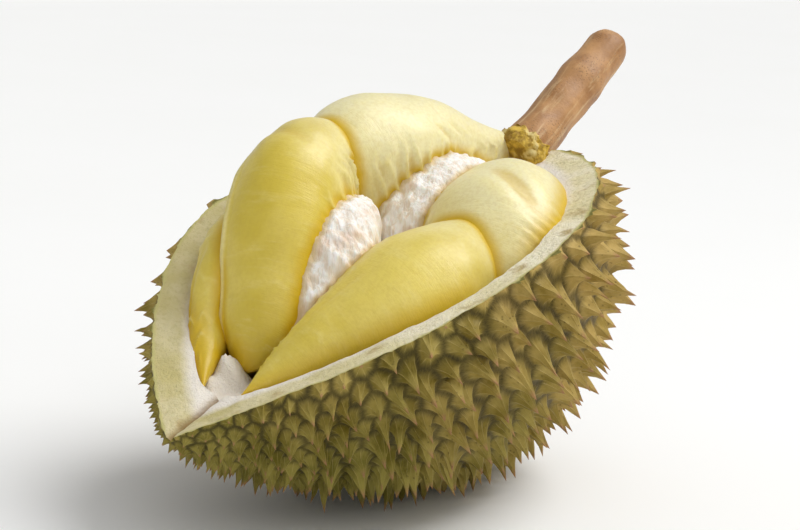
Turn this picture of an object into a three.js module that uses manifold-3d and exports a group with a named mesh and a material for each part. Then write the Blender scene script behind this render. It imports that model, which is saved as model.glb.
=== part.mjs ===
// An opened durian: three of the five chambers of the fruit, lying on its thorny belly.
//
// Everything is in millimetres. The fruit has its own frame: +X runs along its axis from the
// apex to the stem, +Y points to the far side and +Z out of the opening. The whole fruit is
// then tipped, so that it lies on its belly with the stem end raised, and +Z is up.

import * as THREE from 'three';
import { mergeVertices } from 'three/addons/utils/BufferGeometryUtils.js';
import { ConvexHull } from 'three/addons/math/ConvexHull.js';
import Module from 'manifold-3d';

const wasm = await Module();
wasm.setup();

// Driving dimensions.
const FRUIT_LENGTH = 258;
const HALF_WIDTH = 82;
const NEAR_LEAN = 0.03;
const WIDEST_AT = 140;
const BELLY_DEPTH = 108.5;
const DEEPEST_AT = 195;
const FLANK_FLATNESS = 0.06;
const LYING_TILT = THREE.MathUtils.degToRad(20.5);
const RIM_RISE = THREE.MathUtils.degToRad(13);
const FAR_RIM_RISE = THREE.MathUtils.degToRad(17);
const GAP = 0.3;
const POD_GAP = 0.5;

// Thorns: how far apart they stand and how tall they are, at the apex and on the body.
const APEX_SPACING = 6.5;
const BODY_SPACING = 14;
const STEM_END_SPACING = 11;
const APEX_THORN = 3.5;
const BODY_THORN = 9.8;
const STEM_END_THORN = 6.5;
const THORN_GROWTH = 95;
const THORN_SCATTER = 0.22;
const HEIGHT_SCATTER = 0.15;
const STUMPS_ABOVE_RIM = 4;
const WORN_TIPS = 4;

// The rind's thickness under the seeds, and how much thicker it is on the far side.
const RIND_THICKNESS = 12.2;
const RIND_LEAN = 3.2;
const CAVITY_START = 33;
const CAVITY_END = 238;
const SHALLOW_START = 0.35;

// The end of the wall between two chambers, left standing in the hollow near the apex.
const BLADE_TOP = new THREE.Vector3(57, 14, 9);
const BLADE_HEIGHT = 26;
const BLADE_RADIUS = 11;

const STEM_RADIUS = 10.5;
const STEM_LENGTH = 87;
const STEM_ROOT = new THREE.Vector3(247, 0, 3);
const STEM_LIFT = THREE.MathUtils.degToRad(13);
const COLLAR_BOTTOM = -6;
const COLLAR_TOP = 4;
const COLLAR_SHIFT = new THREE.Vector3(-0.4, -1, 1.9);
const STEM_CLEARING = 17;

// The pods of aril and the pith between them. Each is a plump body along a bent line:
// a station is [x, y, z, half thickness sideways, upwards, downwards].
const PODS = {
  front_pod_lower: [
    [35, -9, 2, 5, 4, 8],
    [50, -14, 3, 11, 8, 18],
    [70, -21, 5, 16, 14, 36],
    [98, -31, 7, 25, 22, 60],
    [124, -37, 8, 28, 26, 72],
    [147, -35, 8, 27, 26, 68],
    [171, -28, 4, 18, 17, 46],
  ],
  front_pod_upper: [
    [126, -50, 0, 14, 12, 40],
    [146, -45, 4, 28, 21, 64],
    [168, -38, 6, 31, 26, 72],
    [190, -31, 4, 29, 27, 72],
    [212, -25, -1, 24, 22, 60],
    [232, -18, -8, 14, 14, 40],
  ],
  rear_pod_lower: [
    [61, 12, -6, 20, 12, 8],
    [75, 13, 4, 21, 18, 22],
    [94, 17, 17, 22, 21, 44],
    [114, 23, 32, 24, 27, 60],
    [140, 28, 42, 26, 31, 76],
    [168, 29, 41, 25, 30, 76],
  ],
  rear_pod_upper: [
    [136, 28, 37, 23, 24, 60],
    [158, 28, 37, 27, 27, 84],
    [180, 25, 34, 26, 24, 84],
    [204, 19, 26, 21, 20, 70],
    [227, 11, 16, 15, 14, 50],
    [252, 4, 8, 10, 9, 24],
  ],
  side_pod: [
    [35, 10, -1, 3, 4, 5],
    [50, 21, 2, 8, 8, 12],
    [66, 31, 4, 10, 14, 22],
    [88, 38, 10, 14, 21, 46],
    [112, 43, 12, 19, 24, 60],
    [140, 47, 6, 21, 20, 70],
    [172, 47, 4, 22, 18, 70],
    [204, 38, -2, 18, 16, 60],
    [222, 30, -8, 12, 10, 30],
  ],
};

const PITH = {
  pith_lower: [
    [70, -2, -10, 14, 10, 20],
    [96, 1, 9, 19, 16, 40],
    [120, 4, 23, 20, 18, 60],
    [148, 7, 25, 16, 18, 60],
  ],
  pith_upper: [
    [146, -4, 2, 18, 13, 60],
    [164, -1, 9, 24, 18, 70],
    [184, 2, 11, 26, 19, 70],
    [208, 2, 7, 24, 15, 50],
    [232, 2, -6, 16, 8, 20],
  ],
};

const COLOURS = {
  husk: 0x746a30,
  stem: 0xb08a66,
  stem_collar: 0x9a7f35,
  front_pod_lower: 0xd8c050,
  front_pod_upper: 0xe2d070,
  rear_pod_lower: 0xd4bb4c,
  rear_pod_upper: 0xdcc85c,
  side_pod: 0xcdb43c,
  pith_lower: 0xf1ece2,
  pith_upper: 0xf1ece2,
};

// ---------------------------------------------------------------- solids and cuts

// A closed three.js geometry as a solid that can be cut and joined.
function toSolid(geometry) {
  const bare = new THREE.BufferGeometry();
  bare.setAttribute('position', geometry.getAttribute('position').clone());
  if (geometry.index) bare.setIndex(geometry.index.clone());
  const merged = mergeVertices(bare, 1e-4);
  const vertProperties = Float32Array.from(merged.getAttribute('position').array);
  const triVerts = Uint32Array.from(merged.index.array);
  return new wasm.Manifold(new wasm.Mesh({ numProp: 3, vertProperties, triVerts }));
}

// A solid back as a three.js geometry.
function toGeometry(solid) {
  const mesh = solid.getMesh();
  const geometry = new THREE.BufferGeometry();
  geometry.setAttribute('position', new THREE.BufferAttribute(mesh.vertProperties, 3));
  geometry.setIndex(new THREE.BufferAttribute(mesh.triVerts, 1));
  return geometry;
}

function cutAway(solid, cutters) {
  return cutters.reduce((left, cutter) => left.subtract(cutter), solid);
}

// ---------------------------------------------------------------- the fruit's outline

// From nothing at the apex up to 1, pointed like a bud.
function swell(share, power) {
  return 1 - (1 - share) ** power;
}

// From 1 down to nothing at the stem, blunt like a shoulder.
function shoulder(share, squareness, bluntness) {
  return Math.max(0, 1 - share ** squareness) ** (1 / bluntness);
}

function halfWidth(x) {
  if (x < WIDEST_AT) return HALF_WIDTH * swell(x / WIDEST_AT, 2);
  return HALF_WIDTH * shoulder((x - WIDEST_AT) / (FRUIT_LENGTH - WIDEST_AT), 2.1, 1.75);
}

function bellyDepth(x) {
  if (x < DEEPEST_AT) return BELLY_DEPTH * swell(x / DEEPEST_AT, 1.5) ** 0.89;
  return BELLY_DEPTH * shoulder((x - DEEPEST_AT) / (FRUIT_LENGTH - DEEPEST_AT), 2.5, 1.7);
}

// A point of the rind's skin. The angle goes round the axis from straight down, and the
// section is deeper than wide below the axis and round above it, with flattened flanks.
function skinPoint(x, angle) {
  const width = halfWidth(x) * (1 - NEAR_LEAN * Math.sin(angle));
  const height = Math.cos(angle) > 0 ? bellyDepth(x) : width;
  const swollen = THREE.MathUtils.smoothstep(x, 110, 190);
  const flat = 1 - FLANK_FLATNESS * swollen * Math.sin(2 * angle) ** 2;
  return new THREE.Vector3(x, flat * width * Math.sin(angle), -flat * height * Math.cos(angle));
}

function skinNormal(x, angle) {
  const step = 0.5;
  const low = THREE.MathUtils.clamp(x - step, 0, FRUIT_LENGTH);
  const high = THREE.MathUtils.clamp(x + step, 0, FRUIT_LENGTH);
  const along = skinPoint(high, angle).sub(skinPoint(low, angle));
  const round = skinPoint(x, angle + 0.01).sub(skinPoint(x, angle - 0.01));
  return along.cross(round).normalize().negate();
}

// ---------------------------------------------------------------- thorns

// A repeatable number from 0 to 1 for each thorn and purpose.
function chance(index, purpose) {
  const value = Math.sin(index * 12.9898 + purpose * 78.233) * 43758.5453;
  return value - Math.floor(value);
}

function thornSpacing(x) {
  const young = Math.min(x / 70, 1);
  const old = Math.max((x - 200) / (FRUIT_LENGTH - 200), 0);
  const body = THREE.MathUtils.lerp(APEX_SPACING, BODY_SPACING, young);
  return THREE.MathUtils.lerp(body, STEM_END_SPACING, old);
}

function thornHeight(x) {
  const old = Math.max((x - 200) / (FRUIT_LENGTH - 200), 0);
  const body = THREE.MathUtils.lerp(APEX_THORN, BODY_THORN, Math.min(x / THORN_GROWTH, 1));
  return THREE.MathUtils.lerp(body, STEM_END_THORN, old);
}

// A walk along the axis that adds up how many thorns stand so far, and the latitude on a
// globe that keeps the rind's true proportions, so that the thorns' cells stay round.
function walkAlongAxis() {
  const steps = 300;
  const rows = [];
  let count = 0;
  let latitude = -3.2; // puts the widest part of the rind near the globe's equator
  let before = null;
  for (let i = 1; i < steps; i += 1) {
    const x = (FRUIT_LENGTH / 2) * (1 - Math.cos((Math.PI * i) / steps));
    const radius = (halfWidth(x) + (halfWidth(x) + bellyDepth(x)) / 2) / 2;
    if (before) {
      const stride = Math.hypot(x - before.x, radius - before.radius);
      count += (2 * Math.PI * radius * stride) / (0.866 * thornSpacing(x) ** 2);
      latitude += stride / radius;
    }
    before = { x, radius, count, latitude };
    rows.push(before);
  }
  return rows;
}

// The row of the walk where a quantity reaches a value, found between its neighbours.
function findOnWalk(walk, key, value) {
  const next = Math.max(1, walk.findIndex((row) => row[key] >= value));
  const [a, b] = [walk[next - 1], walk[next]];
  const share = THREE.MathUtils.clamp((value - a[key]) / (b[key] - a[key]), 0, 1);
  const mix = (name) => THREE.MathUtils.lerp(a[name], b[name], share);
  return { x: mix('x'), radius: mix('radius'), latitude: mix('latitude') };
}

// Thorns stand on a spiral with the golden angle between them, each a little off its place.
function placeThorns() {
  const walk = walkAlongAxis();
  const total = Math.floor(walk[walk.length - 1].count);
  const goldenAngle = Math.PI * (3 - Math.sqrt(5));
  const thorns = [];
  for (let i = 0; i < total; i += 1) {
    const planned = findOnWalk(walk, 'count', i + 0.5);
    const stray = THORN_SCATTER * thornSpacing(planned.x);
    const wanted = planned.x + stray * (2 * chance(i, 1) - 1);
    const place = findOnWalk(walk, 'x', THREE.MathUtils.clamp(wanted, 1, FRUIT_LENGTH - 1));
    const angle = i * goldenAngle + (stray / place.radius) * (2 * chance(i, 2) - 1);
    const base = skinPoint(place.x, angle);
    const underCollar = place.x > DEEPEST_AT && Math.hypot(base.y, base.z) < STEM_CLEARING;
    const rimRise = base.y < 0 ? RIM_RISE : FAR_RIM_RISE;
    const cutOff = base.z > Math.abs(base.y) * Math.tan(rimRise) + STUMPS_ABOVE_RIM;
    const grown = thornHeight(place.x) * (1 + HEIGHT_SCATTER * (2 * chance(i, 3) - 1));
    const height = cutOff || underCollar ? 0 : grown;
    const tip = base.clone().addScaledVector(skinNormal(place.x, angle), height);
    const narrow = 1 / Math.cosh(place.latitude);
    const globe = new THREE.Vector3(
      Math.tanh(place.latitude), narrow * Math.sin(angle), -narrow * Math.cos(angle));
    thorns.push({ base, tip, globe });
  }
  return thorns;
}

// The whole fruit's outside: each thorn is a pyramid, and its foot is the cell of skin that
// lies nearer to it than to any other thorn.
function thornyBody() {
  const thorns = placeThorns();
  const numberOf = new Map(thorns.map((thorn, i) => [thorn.globe, i]));
  const hull = new ConvexHull().setFromPoints(thorns.map((thorn) => thorn.globe));
  const positions = thorns.flatMap((thorn) => thorn.tip.toArray());
  const valleyOf = new Map();
  hull.faces.forEach((face, i) => {
    const middle = new THREE.Vector3();
    let edge = face.edge;
    do {
      middle.addScaledVector(thorns[numberOf.get(edge.head().point)].base, 1 / 3);
      edge = edge.next;
    } while (edge !== face.edge);
    valleyOf.set(face, thorns.length + i);
    positions.push(...middle.toArray());
  });
  const index = [];
  hull.faces.forEach((face) => {
    let edge = face.edge;
    do {
      const thorn = numberOf.get(edge.tail().point);
      index.push(thorn, valleyOf.get(edge.twin.face), valleyOf.get(face));
      edge = edge.next;
    } while (edge !== face.edge);
  });
  const geometry = new THREE.BufferGeometry();
  geometry.setAttribute('position', new THREE.Float32BufferAttribute(positions, 3));
  geometry.setIndex(index);
  return geometry;
}

// ---------------------------------------------------------------- the opening

// What is cut off above the two faces of the opening. They meet along the axis and rise
// towards the rims, because three chambers of five are a little more than half the fruit.
function openingCutter() {
  const reach = 200;
  const outline = new THREE.Shape([
    new THREE.Vector2(0, 0),
    new THREE.Vector2(reach, reach * Math.tan(FAR_RIM_RISE)),
    new THREE.Vector2(reach, 2 * reach),
    new THREE.Vector2(-reach, 2 * reach),
    new THREE.Vector2(-reach, reach * Math.tan(RIM_RISE)),
  ]);
  const length = FRUIT_LENGTH + 80;
  const geometry = new THREE.ExtrudeGeometry(outline, { depth: length, bevelEnabled: false });
  const turn = new THREE.Matrix4().makeBasis(
    new THREE.Vector3(0, 1, 0), new THREE.Vector3(0, 0, 1), new THREE.Vector3(1, 0, 0));
  return geometry.applyMatrix4(turn).translate(-40, 0, 0);
}

// The hollow that the pods fill, less a margin all round.
function cavity(margin) {
  const globe = new THREE.SphereGeometry(1, 35, 24, 0.06);
  const place = globe.getAttribute('position');
  const start = CAVITY_START + margin;
  const length = CAVITY_END - margin - start;
  for (let i = 0; i < place.count; i += 1) {
    const polar = Math.acos(THREE.MathUtils.clamp(-place.getY(i), -1, 1));
    const angle = Math.atan2(place.getX(i), place.getZ(i));
    const x = start + (length * (1 - Math.cos(polar))) / 2;
    const roundEnd = Math.sin(polar) ** 0.42;
    const shallow = THREE.MathUtils.lerp(SHALLOW_START, 1, THREE.MathUtils.smoothstep(x, 50, 92));
    const thickness = RIND_THICKNESS + RIND_LEAN * Math.sin(angle) + margin;
    const width = (halfWidth(x) - thickness) * roundEnd;
    const belly = (bellyDepth(x) - thickness) * roundEnd * shallow;
    const depth = Math.cos(angle) > 0 ? belly : width;
    place.setXYZ(i, x, width * Math.sin(angle), -depth * Math.cos(angle));
  }
  return globe;
}

// The blade of rind in the hollow: a cone standing on the hollow's floor.
function bladeShape(margin) {
  const cone = new THREE.ConeGeometry(BLADE_RADIUS + margin, BLADE_HEIGHT + margin, 16);
  return cone.rotateX(Math.PI / 2).translate(
    BLADE_TOP.x, BLADE_TOP.y, BLADE_TOP.z + margin - (BLADE_HEIGHT + margin) / 2);
}

function hollow(margin) {
  return toSolid(cavity(margin)).subtract(toSolid(bladeShape(margin)));
}

// ---------------------------------------------------------------- pods, pith and stem

// A plump body through its stations, rounded at both ends. Grown by a margin it is the
// cutter that keeps its neighbours clear of it.
function plumpBody(stations, margin) {
  const line = new THREE.CatmullRomCurve3(
    stations.map(([x, y, z]) => new THREE.Vector3(x, y, z)), false, 'centripetal');
  const girth = new THREE.CatmullRomCurve3(
    stations.map(([, , , side, up, down]) => new THREE.Vector3(side, up, down)));
  const globe = new THREE.SphereGeometry(1, 22, 18);
  const place = globe.getAttribute('position');
  const skyward = new THREE.Vector3(0, 0, 1);
  for (let i = 0; i < place.count; i += 1) {
    const polar = Math.acos(THREE.MathUtils.clamp(place.getY(i), -1, 1));
    const around = Math.atan2(place.getX(i), place.getZ(i));
    const share = polar / Math.PI;
    const ahead = line.getTangent(share);
    const sideways = new THREE.Vector3().crossVectors(skyward, ahead).normalize();
    const upwards = new THREE.Vector3().crossVectors(ahead, sideways);
    const size = girth.getPoint(share).addScalar(margin);
    const roundEnd = Math.sin(polar) ** 0.55;
    const isTop = Math.cos(around) > 0;
    const lift = isTop ? upwards.multiplyScalar(size.y) : skyward.clone().multiplyScalar(size.z);
    const point = line.getPoint(share)
      .addScaledVector(ahead, -margin * Math.cos(polar))
      .addScaledVector(sideways, roundEnd * size.x * Math.sin(around))
      .addScaledVector(lift, roundEnd * Math.cos(around));
    place.setXYZ(i, point.x, point.y, point.z);
  }
  return globe;
}

// A turned shape whose own axis is the stem's line. Heights are measured from its root.
function aroundStem(profile, sides) {
  const points = profile.map(([radius, height]) => new THREE.Vector2(radius, height));
  const direction = new THREE.Vector3(Math.cos(STEM_LIFT), 0, Math.sin(STEM_LIFT));
  const turn = new THREE.Quaternion().setFromUnitVectors(new THREE.Vector3(0, 1, 0), direction);
  const geometry = new THREE.LatheGeometry(points, sides);
  return geometry.applyQuaternion(turn).translate(STEM_ROOT.x, STEM_ROOT.y, STEM_ROOT.z);
}

function stemShape(margin) {
  const r = STEM_RADIUS + margin;
  const top = STEM_LENGTH + margin;
  return aroundStem([
    [0, -margin],
    [r * 1.05, -margin],
    [r * 1.06, 8],
    [r, 22],
    [r, top * 0.5],
    [r * 1.07, top * 0.6],
    [r * 0.96, top * 0.7],
    [r * 0.9, top * 0.78],
    [r * 0.9, top - 10],
    [r * 0.72, top - 3],
    [0, top],
  ], 16);
}

// Torn tissue that cups the stem's root, more of it on the side of the opening.
function collarShape(margin) {
  const r = STEM_RADIUS;
  return aroundStem([
    [0, COLLAR_BOTTOM - margin],
    [r * 1.12 + margin, COLLAR_BOTTOM - margin],
    [r * 1.24 + margin, (COLLAR_BOTTOM + COLLAR_TOP) / 2],
    [r * 1.12 + margin, COLLAR_TOP + margin],
    [0, COLLAR_TOP + margin],
  ], 18).translate(COLLAR_SHIFT.x, COLLAR_SHIFT.y, COLLAR_SHIFT.z);
}

// ---------------------------------------------------------------- assembling the fruit

const LARGE = [600, 400]; // wider and longer than the whole fruit
const solids = {};
const opening = toSolid(openingCutter());
const stem = toSolid(stemShape(0));
const stemRoom = toSolid(stemShape(GAP));
const collarRoom = toSolid(collarShape(GAP));

// A block lying just under the worn tips that the fruit rests on.
function restCutter(lowest) {
  const thickness = 60;
  const block = new THREE.BoxGeometry(...LARGE, thickness);
  block.translate(0, 0, lowest + WORN_TIPS - thickness / 2);
  return block.applyMatrix4(new THREE.Matrix4().makeRotationY(LYING_TILT));
}

function lowestPoint(geometry) {
  const lying = geometry.clone().applyMatrix4(new THREE.Matrix4().makeRotationY(-LYING_TILT));
  lying.computeBoundingBox();
  return lying.boundingBox.min.z;
}

const outside = thornyBody();
solids.husk = cutAway(toSolid(outside), [
  opening, hollow(0), toSolid(restCutter(lowestPoint(outside))), stemRoom, collarRoom,
]);
solids.stem = stem;
solids.stem_collar = cutAway(toSolid(collarShape(0)), [stemRoom]);

// Everything inside stays clear of the rind, of the stem and of what was placed before it.
const block = new THREE.BoxGeometry(...LARGE, 400).translate(FRUIT_LENGTH / 2, 0, -20);
const wall = cutAway(toSolid(block), [opening, hollow(GAP)]);
const inTheWay = [wall, stemRoom, collarRoom];
for (const [name, stations] of Object.entries({ ...PODS, ...PITH })) {
  solids[name] = cutAway(toSolid(plumpBody(stations, 0)), inTheWay);
  inTheWay.push(toSolid(plumpBody(stations, POD_GAP)));
}

const fruit = new THREE.Group();
fruit.rotation.y = -LYING_TILT;
for (const [name, solid] of Object.entries(solids)) {
  const material = new THREE.MeshStandardMaterial({
    color: COLOURS[name],
    roughness: name.includes('pod') ? 0.45 : 0.8,
    metalness: 0,
  });
  const mesh = new THREE.Mesh(toGeometry(solid), material);
  mesh.name = name;
  fruit.add(mesh);
}

// The origin is under the middle of the fruit's box, on the surface that it lies on.
const durian = new THREE.Group();
durian.add(fruit);
durian.updateMatrixWorld(true);
const box = new THREE.Box3().setFromObject(durian, true);
const middle = box.getCenter(new THREE.Vector3());
fruit.position.set(-middle.x, -middle.y, -box.min.z);

export default durian;
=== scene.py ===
# %% [markdown]
# # An opened durian
# A durian is a large, heavy fruit with a thick thorny rind. This one has been prised open along
# its natural seams: three of its five chambers are left, lying on the thorny belly, and the
# yellow pods show in the opening. The solids that hold its size and weight are loaded first as a
# fixed frame, and every piece modelled here takes the place of one of them.

# %% Load the frame
import bisect
import functools
import math

import bmesh
import bpy
from mathutils import Matrix, Vector, noise
from mathutils.bvhtree import BVHTree


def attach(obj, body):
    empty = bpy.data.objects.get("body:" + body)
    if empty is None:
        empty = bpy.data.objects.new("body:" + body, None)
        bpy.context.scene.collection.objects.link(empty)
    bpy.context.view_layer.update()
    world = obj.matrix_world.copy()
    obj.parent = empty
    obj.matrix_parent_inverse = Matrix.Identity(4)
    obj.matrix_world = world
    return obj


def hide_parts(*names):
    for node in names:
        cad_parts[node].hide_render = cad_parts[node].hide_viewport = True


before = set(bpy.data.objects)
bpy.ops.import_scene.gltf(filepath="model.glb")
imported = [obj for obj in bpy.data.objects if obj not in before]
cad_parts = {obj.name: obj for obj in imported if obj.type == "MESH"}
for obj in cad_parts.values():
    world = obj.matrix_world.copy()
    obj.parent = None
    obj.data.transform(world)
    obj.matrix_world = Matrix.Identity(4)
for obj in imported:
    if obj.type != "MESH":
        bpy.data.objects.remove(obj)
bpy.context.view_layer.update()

# noise_vector is otherwise shifted by the clock, and each run gives slightly other thorns
NOISE_START = 1795149812
noise.seed_set(NOISE_START)

print("frame nodes:", sorted(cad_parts))

# %% [markdown]
# ## The fruit's own frame
# A fruit is easiest to shape along its own axis: X runs from the apex to the stem, Y to the far
# side and Z out of the opening, and a ruler in millimetres suits its size. One matrix then tips
# the fruit onto its belly and turns millimetres into the metres that the scene is built in.

# %% The fruit's place
LYING_TILT = math.radians(20.5)
APEX = Vector((-0.151753, 0.002699, 0.045411))
FRUIT_TO_SCENE = (
    Matrix.Translation(APEX) @ Matrix.Rotation(-LYING_TILT, 4, "Y") @ Matrix.Scale(0.001, 4))
print("stem root in the scene:", FRUIT_TO_SCENE @ Vector((251, 0, 0)))

# %% [markdown]
# ## The outline of the rind
# The rind swells like a bud from the pointed apex and closes like a shoulder round the stem.
# Two short formulas give the half width and the depth of the belly at each place on the axis,
# so the thorns, the cut faces and the hollow all follow the same outline. Between side and belly
# the flanks are a little flatter than a circle.

# %% Outline of the rind
FRUIT_LENGTH = 258
HALF_WIDTH = 82
NEAR_LEAN = 0.03
WIDEST_AT = 140
BELLY_DEPTH = 108.5
DEEPEST_AT = 195
APEX_SWELL = 2
BELLY_SWELL = 1.5
BELLY_FULLNESS = 0.89
SIDE_SHOULDER = (2.1, 1.75)
BELLY_SHOULDER = (2.5, 1.7)
FLANK_FLATNESS = 0.06
FLAT_FROM = 110
FLAT_FULLY = 190


def mix(a, b, share):
    return a + (b - a) * share


def clamp(value, low=0.0, high=1.0):
    return max(low, min(high, value))


def ease(low, high, value):
    share = clamp((value - low) / (high - low))
    return share * share * (3 - 2 * share)


def swell(share, power):
    return 1 - (1 - share) ** power


def shoulder(share, squareness, bluntness):
    return max(0.0, 1 - share ** squareness) ** (1 / bluntness)


def half_width(x):
    if x < WIDEST_AT:
        return HALF_WIDTH * swell(x / WIDEST_AT, APEX_SWELL)
    return HALF_WIDTH * shoulder((x - WIDEST_AT) / (FRUIT_LENGTH - WIDEST_AT), *SIDE_SHOULDER)


def belly_depth(x):
    if x < DEEPEST_AT:
        return BELLY_DEPTH * swell(x / DEEPEST_AT, BELLY_SWELL) ** BELLY_FULLNESS
    return BELLY_DEPTH * shoulder((x - DEEPEST_AT) / (FRUIT_LENGTH - DEEPEST_AT), *BELLY_SHOULDER)


def skin_point(x, angle):
    """A point of the skin; the angle goes round the axis from straight down."""
    width = half_width(x) * (1 - NEAR_LEAN * math.sin(angle))
    height = belly_depth(x) if math.cos(angle) > 0 else width
    flat = 1 - FLANK_FLATNESS * ease(FLAT_FROM, FLAT_FULLY, x) * math.sin(2 * angle) ** 2
    return Vector((x, flat * width * math.sin(angle), -flat * height * math.cos(angle)))


def skin_normal(x, angle):
    low = clamp(x - 0.5, 0, FRUIT_LENGTH)
    high = clamp(x + 0.5, 0, FRUIT_LENGTH)
    along = skin_point(high, angle) - skin_point(low, angle)
    around = skin_point(x, angle + 0.01) - skin_point(x, angle - 0.01)
    return -along.cross(around).normalized()


def depth_under_skin(point):
    """How far inside the skin a point lies, in millimetres; outside it is negative."""
    x = clamp(point.x, 1, FRUIT_LENGTH - 1)
    width = max(half_width(x), 1)
    height = max(belly_depth(x), 1) if point.z < 0 else width
    angle = math.atan2(point.y / width, -point.z / height)
    return (skin_point(x, angle) - point).dot(skin_normal(x, angle))


print("widest:", 2 * half_width(WIDEST_AT), "mm, deepest below the axis:", belly_depth(DEEPEST_AT))

# %% [markdown]
# ## Where the thorns stand
# Thorns crowd like seeds on a sunflower, so they are set on a spiral with the golden angle
# between neighbours. They are small and close at the apex, tall and wide apart on the belly,
# and stunted beside the rims, where they broke off. Every tip hooks its own way, mostly down.
# A walk along the axis adds up how many fit, and also gives each one a latitude on a globe:
# the hull of those points on the globe then says which thorns are neighbours.

# %% Places of the thorns
APEX_SPACING = 4.2
BODY_SPACING = 13.5
STEM_END_SPACING = 11
SPACING_GROWTH = 125
APEX_THORN = 3
BODY_THORN = 11.2
STEM_END_THORN = 8
FAR_SIDE_THORNS = 0.75
THORN_GROWTH = 65
THORN_SCATTER = 0.24
RIM_CLEARING = 1.5
FULL_THORNS_BELOW = 4.5
TIP_CLEARANCE = 1.5
STEM_END = 195
STEM_CLEARING = 11
RIM_RISE = math.radians(13)
FAR_RIM_RISE = math.radians(17)
LEAN_ROOM = 0.45
SHORTEST = 0.65
HEIGHT_RANGE = 0.6
TIP_HOOK = 0.32
HOOK_SCATTER = 1.4
HOOK_TO_APEX = 0.35
HOOK_DOWN = 0.65
HEXAGON_AREA = 0.866
GOLDEN_ANGLE = math.pi * (3 - math.sqrt(5))


def chance(index, purpose):
    """A number from 0 to 1 that looks random and is the same each run."""
    value = math.sin(index * 12.9898 + purpose * 78.233) * 43758.5453
    return value - math.floor(value)


def towards_stem(x):
    return max((x - STEM_END) / (FRUIT_LENGTH - STEM_END), 0)


def thorn_spacing(x):
    body = mix(APEX_SPACING, BODY_SPACING, min(x / SPACING_GROWTH, 1) ** 0.8)
    return mix(body, STEM_END_SPACING, towards_stem(x))


def thorn_height(x):
    body = mix(APEX_THORN, BODY_THORN, min(x / THORN_GROWTH, 1))
    return mix(body, STEM_END_THORN, towards_stem(x))


def walk_along_axis(steps=300):
    """Rows of (x, radius, thorns so far, latitude) from the apex to the stem."""
    rows = []
    count = 0
    latitude = 0
    for i in range(1, steps):
        x = (FRUIT_LENGTH / 2) * (1 - math.cos(math.pi * i / steps))
        radius = (half_width(x) + (half_width(x) + belly_depth(x)) / 2) / 2
        if rows:
            stride = math.hypot(x - rows[-1][0], radius - rows[-1][1])
            count += (2 * math.pi * radius * stride) / (HEXAGON_AREA * thorn_spacing(x) ** 2)
            latitude += stride / radius
        rows.append((x, radius, count, latitude))
    return rows


def balance_latitude(rows):
    """Shift the latitudes so that both ends of the fruit are equally near a pole of the globe."""
    middle = (find_on_walk(rows, 0, 1)[3] + find_on_walk(rows, 0, FRUIT_LENGTH - 1)[3]) / 2
    return [(x, radius, count, latitude - middle) for x, radius, count, latitude in rows]


def find_on_walk(rows, column, value):
    found = max(1, bisect.bisect_left([row[column] for row in rows], value))
    before, after = rows[found - 1], rows[found]
    share = clamp((value - before[column]) / (after[column] - before[column]))
    return [mix(a, b, share) for a, b in zip(before, after)]


def out_of_opening(y):
    rise = RIM_RISE if y < 0 else -FAR_RIM_RISE
    return Vector((0, math.sin(rise), math.cos(rise)))


def depth_below_opening(foot):
    return -foot.dot(out_of_opening(foot.y))


def bend_under_opening(foot, growth):
    """Thorns beside the opening lean away from it, so that they aren't sliced."""
    out = out_of_opening(foot.y)
    room = LEAN_ROOM * (depth_below_opening(foot) - TIP_CLEARANCE)
    return growth - out * max(0, growth.dot(out) - room)


def place_thorns():
    """Each thorn's foot, the way it grows, the way its tip hooks, and its place on the globe."""
    rows = balance_latitude(walk_along_axis())
    thorns = []
    for i in range(int(rows[-1][2])):
        planned = find_on_walk(rows, 2, i + 0.5)
        stray = THORN_SCATTER * thorn_spacing(planned[0])
        wanted = clamp(planned[0] + stray * (2 * chance(i, 1) - 1), 1, FRUIT_LENGTH - 1)
        x, radius, _, latitude = find_on_walk(rows, 0, wanted)
        angle = i * GOLDEN_ANGLE + (stray / radius) * (2 * chance(i, 2) - 1)
        foot = skin_point(x, angle)
        normal = skin_normal(x, angle)
        under_stem = x > DEEPEST_AT and math.hypot(foot.y, foot.z) < STEM_CLEARING
        share = SHORTEST + HEIGHT_RANGE * chance(i, 3)
        height = 0 if under_stem else thorn_height(x) * share
        height *= ease(-RIM_CLEARING, FULL_THORNS_BELOW, depth_below_opening(foot))
        height *= mix(1, FAR_SIDE_THORNS, ease(0.1, 0.9, math.sin(angle)))
        forward = HOOK_SCATTER * (chance(i, 4) - 0.5)
        aside = HOOK_SCATTER * (chance(i, 5) - 0.5)
        sideways = Vector((-HOOK_TO_APEX + forward, aside, -HOOK_DOWN))
        sideways -= normal * sideways.dot(normal)
        growth = bend_under_opening(foot, normal * height)
        narrow = 1 / math.cosh(latitude)
        globe = (math.tanh(latitude), narrow * math.sin(angle), -narrow * math.cos(angle))
        thorns.append((foot, growth, sideways * TIP_HOOK * height, Vector(globe)))
    return thorns


thorns = place_thorns()
print("thorns on the whole fruit:", len(thorns))

# %% [markdown]
# ## The thorny skin
# A thorn is a sharp pyramid with hollow, fluted faces, and its ridges run down to the corners of
# its foot. Pushing a cone out of a sphere would give round spikes, so the skin is grown instead:
# the convex hull of the globe joins each thorn to its neighbours, poking every face puts a corner
# between three thorns, and turning each old edge makes a fan of faces round every thorn. The fans
# are then subdivided and lifted: ridges rise early, and the middles of the faces rise late.

# %% Fans of faces round the thorns
FACE_CUTS = 4
RIDGE_POWER = 2.1
FLUTE_POWER = 3.2
HOOK_POWER = 3.2


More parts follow.
